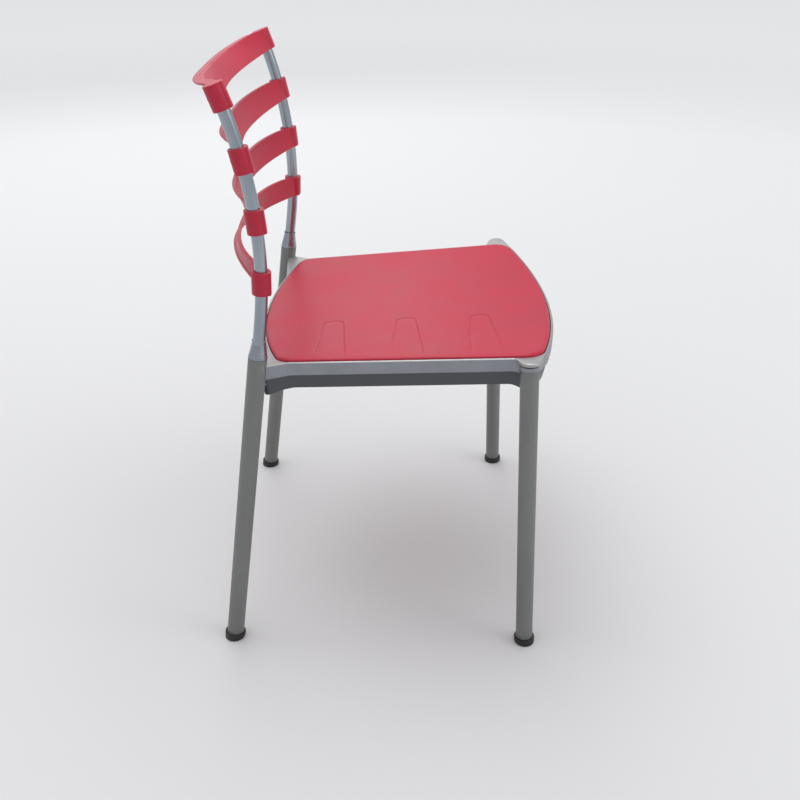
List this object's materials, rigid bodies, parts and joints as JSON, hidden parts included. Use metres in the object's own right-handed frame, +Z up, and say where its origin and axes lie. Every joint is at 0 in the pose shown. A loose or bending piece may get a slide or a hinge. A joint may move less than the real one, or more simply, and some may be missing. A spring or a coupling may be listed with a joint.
{
  "type": "dining chair",
  "caption": "Dining chair with a cast metal seat frame on tube legs, a dished plastic seat panel and a ladder back of bowed plastic slats.",
  "frame": {"origin": "on the floor, under the middle of the chair's outer box", "axes": "+Z up, -Y the way the sitter faces, +X the sitter's left"},
  "size_m": [0.5232, 0.4903, 0.8104],
  "materials": {
    "red_plastic": "satin moulded",
    "cast_aluminium": "silver paint over a fine cast surface",
    "grey_paint": "matt silver-grey powder coat",
    "bright_aluminium": "bright, brushed along the tube",
    "black_rubber": "matt",
    "zinc_steel": "zinc plated"
  },
  "bodies": {
    "root": {"seat_panel": "red_plastic", "seat_frame": "cast_aluminium", "front_leg_right": "grey_paint", "front_leg_left": "grey_paint", "rear_leg_right": "grey_paint", "rear_leg_left": "grey_paint", "ferrule_right": "bright_aluminium", "ferrule_left": "bright_aluminium", "back_post_right": "bright_aluminium", "back_post_left": "bright_aluminium", "back_slat_1": "red_plastic", "back_slat_2": "red_plastic", "back_slat_3": "red_plastic", "back_slat_4": "red_plastic", "glide_front_right": "black_rubber", "glide_front_left": "black_rubber", "glide_rear_right": "black_rubber", "glide_rear_left": "black_rubber", "seat_screw_front_right": "zinc_steel", "seat_screw_front_left": "zinc_steel", "seat_screw_middle_right": "zinc_steel", "seat_screw_middle_left": "zinc_steel", "seat_screw_rear_right": "zinc_steel", "seat_screw_rear_left": "zinc_steel", "leg_bolt_front_right": "zinc_steel", "leg_bolt_front_left": "zinc_steel", "leg_bolt_rear_right": "zinc_steel", "leg_bolt_rear_left": "zinc_steel", "slat_screw_1_right": "zinc_steel", "slat_screw_1_left": "zinc_steel", "slat_screw_2_right": "zinc_steel", "slat_screw_2_left": "zinc_steel", "slat_screw_3_right": "zinc_steel", "slat_screw_3_left": "zinc_steel", "slat_screw_4_right": "zinc_steel", "slat_screw_4_left": "zinc_steel"}
  },
  "joints": []
}
